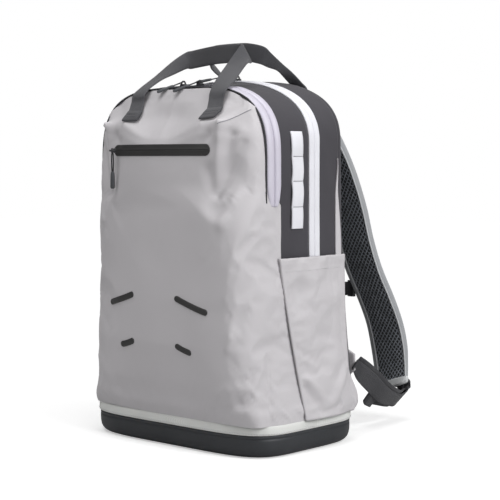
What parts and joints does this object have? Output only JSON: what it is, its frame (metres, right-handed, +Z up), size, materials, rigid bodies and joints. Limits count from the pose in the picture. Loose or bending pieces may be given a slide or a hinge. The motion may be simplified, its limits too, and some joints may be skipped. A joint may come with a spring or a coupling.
{
  "type": "tackle backpack",
  "caption": "Fabric tackle backpack on a moulded base tray, with a fold-down front compartment, a zipped main compartment, side pockets, tote handles and padded shoulder straps.",
  "frame": {"origin": "centre of the base tray's underside", "axes": "+Z up, -Y the front face, +Y the side worn against the back, +X to the right seen from the front"},
  "size_m": [0.346, 0.3925, 0.533],
  "materials": {
    "light_fabric": "coated woven polyester, light grey",
    "dark_fabric": "woven polyester, charcoal",
    "zip_cover": "coated zip cover tape, pale lilac grey",
    "white_webbing": "woven polyester tape, off-white",
    "dark_webbing": "woven webbing, dark grey",
    "moulded_base": "moulded EVA, fine grain, matt",
    "black_trim": "satin black trim and zip hardware",
    "mesh_pad": "spacer mesh over foam, black",
    "liner": "plain woven liner, grey"
  },
  "bodies": {
    "bag": {"base_tray": "moulded_base", "base_binding": "zip_cover", "front_panel_lower": "light_fabric", "side_wall_right": "dark_fabric", "side_wall_left": "dark_fabric", "side_pocket_right": "light_fabric", "side_pocket_left": "light_fabric", "strap_wing_right": "light_fabric", "strap_wing_left": "light_fabric", "back_pad_right": "mesh_pad", "back_pad_left": "mesh_pad", "lower_webbing_right": "dark_webbing", "lower_webbing_left": "dark_webbing", "lash_bar_upper_right": "black_trim", "lash_bar_upper_left": "black_trim", "lash_bar_lower_right": "black_trim", "lash_bar_lower_left": "black_trim", "main_zip_tape_rear": "white_webbing", "rear_gusset": "dark_fabric", "back_panel": "light_fabric", "frame_sheet": "liner", "divider_lower": "liner"},
    "main_flap": {"front_panel_middle": "light_fabric", "front_gusset": "dark_fabric", "main_zip_tape_front": "white_webbing", "front_zip_tape_rear": "zip_cover", "daisy_chain_right": "white_webbing", "daisy_chain_left": "white_webbing", "divider_upper": "liner"},
    "front_flap": {"front_panel_upper": "light_fabric", "front_piping": "black_trim", "front_zip_tape_front": "zip_cover", "front_pocket_zip_tape": "black_trim"},
    "front_handle": {"front_handle": "dark_webbing"},
    "rear_handle": {"rear_handle": "dark_webbing"},
    "front_pocket_slider": {"front_pocket_slider": "black_trim"},
    "front_pocket_pull": {"front_pocket_pull": "black_trim"},
    "front_zip_left_slider": {"front_zip_left_slider": "black_trim"},
    "front_zip_left_pull": {"front_zip_left_pull": "black_trim"},
    "front_zip_right_slider": {"front_zip_right_slider": "black_trim"},
    "front_zip_right_pull": {"front_zip_right_pull": "black_trim"},
    "main_zip_left_slider": {"main_zip_left_slider": "black_trim"},
    "main_zip_left_pull": {"main_zip_left_pull": "black_trim"},
    "main_zip_right_slider": {"main_zip_right_slider": "black_trim"},
    "main_zip_right_pull": {"main_zip_right_pull": "black_trim"},
    "strap_right": {"shoulder_strap_right": "light_fabric"},
    "ladder_lock_right": {"ladder_lock_right": "black_trim"},
    "strap_tail_right": {"strap_tail_right": "dark_webbing"},
    "sternum_right": {"sternum_webbing_right": "dark_webbing", "sternum_buckle_right": "black_trim"},
    "strap_left": {"shoulder_strap_left": "light_fabric"},
    "ladder_lock_left": {"ladder_lock_left": "black_trim"},
    "strap_tail_left": {"strap_tail_left": "dark_webbing"},
    "sternum_left": {"sternum_webbing_left": "dark_webbing", "sternum_buckle_left": "black_trim"}
  },
  "joints": [
    {"name": "main_flap_fold", "type": "hinge", "parent": "bag", "child": "main_flap", "pos_m": [0, -0.1325, 0.262], "axis": [1, 0, 0], "range_deg": [0, 35]},
    {"name": "front_flap_fold", "type": "hinge", "parent": "main_flap", "child": "front_flap", "pos_m": [0, -0.1305, 0.322], "axis": [1, 0, 0], "range_deg": [0, 70]},
    {"name": "front_handle_swing", "type": "hinge", "parent": "front_flap", "child": "front_handle", "pos_m": [0, -0.086, 0.477], "axis": [1, 0, 0], "range_deg": [-4, 150]},
    {"name": "rear_handle_swing", "type": "hinge", "parent": "bag", "child": "rear_handle", "pos_m": [0, 0.082, 0.4845], "axis": [1, 0, 0], "range_deg": [-130, 4]},
    {"name": "front_pocket_zip", "type": "hinge", "parent": "front_flap", "child": "front_pocket_slider", "pos_m": [0, 0.4914, 0.3905], "axis": [0, 0, 1], "range_deg": [0, 15.5]},
    {"name": "front_pocket_pull_swing", "type": "hinge", "parent": "front_pocket_slider", "child": "front_pocket_pull", "pos_m": [-0.08434, -0.12538, 0.3855], "axis": [-0.9908, 0.1355, 0], "range_deg": [0, 110]},
    {"name": "front_zip_left_travel", "type": "hinge", "parent": "front_flap", "child": "front_zip_left_slider", "pos_m": [0, -0.067, -0.3254], "axis": [0, 1, 0], "range_deg": [-1.9, 0]},
    {"name": "front_zip_right_travel", "type": "hinge", "parent": "front_flap", "child": "front_zip_right_slider", "pos_m": [0, -0.067, -0.3254], "axis": [0, 1, 0], "range_deg": [0, 3.2]},
    {"name": "front_zip_left_pull_swing", "type": "hinge", "parent": "front_zip_left_slider", "child": "front_zip_left_pull", "pos_m": [-0.008, -0.067, 0.4816], "axis": [-0.7431, 0.6691, 0], "range_deg": [0, 150]},
    {"name": "front_zip_right_pull_swing", "type": "hinge", "parent": "front_zip_right_slider", "child": "front_zip_right_pull", "pos_m": [0.022, -0.067, 0.4816], "axis": [-0.7431, 0.6691, 0], "range_deg": [0, 150]},
    {"name": "main_zip_left_travel", "type": "hinge", "parent": "main_flap", "child": "main_zip_left_slider", "pos_m": [0, 0.01, -0.0161], "axis": [0, 1, 0], "range_deg": [-6, 0]},
    {"name": "main_zip_right_travel", "type": "hinge", "parent": "main_flap", "child": "main_zip_right_slider", "pos_m": [0, 0.01, -0.0161], "axis": [0, 1, 0], "range_deg": [0, 5.5]},
    {"name": "main_zip_left_pull_swing", "type": "hinge", "parent": "main_zip_left_slider", "child": "main_zip_left_pull", "pos_m": [-0.012, 0.01, 0.4909], "axis": [-0.866, 0.5, 0], "range_deg": [0, 140]},
    {"name": "main_zip_right_pull_swing", "type": "hinge", "parent": "main_zip_right_slider", "child": "main_zip_right_pull", "pos_m": [0.018, 0.01, 0.4909], "axis": [-0.866, -0.5, 0], "range_deg": [0, 140]},
    {"name": "strap_swing_right", "type": "hinge", "parent": "bag", "child": "strap_right", "pos_m": [0, 0.079, 0.458], "axis": [1, 0, 0], "range_deg": [0, 30]},
    {"name": "ladder_lock_tilt_right", "type": "hinge", "parent": "strap_right", "child": "ladder_lock_right", "pos_m": [0.107, 0.2566, 0.0598], "axis": [1, 0, 0], "range_deg": [0, 40]},
    {"name": "strap_tail_adjust_right", "type": "slide", "parent": "strap_right", "child": "strap_tail_right", "axis": [0.2905, -0.7012, -0.6511], "range_m": [0, 0.025]},
    {"name": "sternum_height_right", "type": "slide", "parent": "strap_right", "child": "sternum_right", "axis": [0.117, 0.4441, -0.8883], "range_m": [-0.03, 0.025]},
    {"name": "strap_swing_left", "type": "hinge", "parent": "bag", "child": "strap_left", "pos_m": [0, 0.079, 0.458], "axis": [1, 0, 0], "range_deg": [0, 30]},
    {"name": "ladder_lock_tilt_left", "type": "hinge", "parent": "strap_left", "child": "ladder_lock_left", "pos_m": [-0.107, 0.2566, 0.0598], "axis": [1, 0, 0], "range_deg": [0, 40]},
    {"name": "strap_tail_adjust_left", "type": "slide", "parent": "strap_left", "child": "strap_tail_left", "axis": [-0.2905, -0.7012, -0.6511], "range_m": [0, 0.025]},
    {"name": "sternum_height_left", "type": "slide", "parent": "strap_left", "child": "sternum_left", "axis": [-0.117, 0.4441, -0.8883], "range_m": [-0.03, 0.025]}
  ]
}
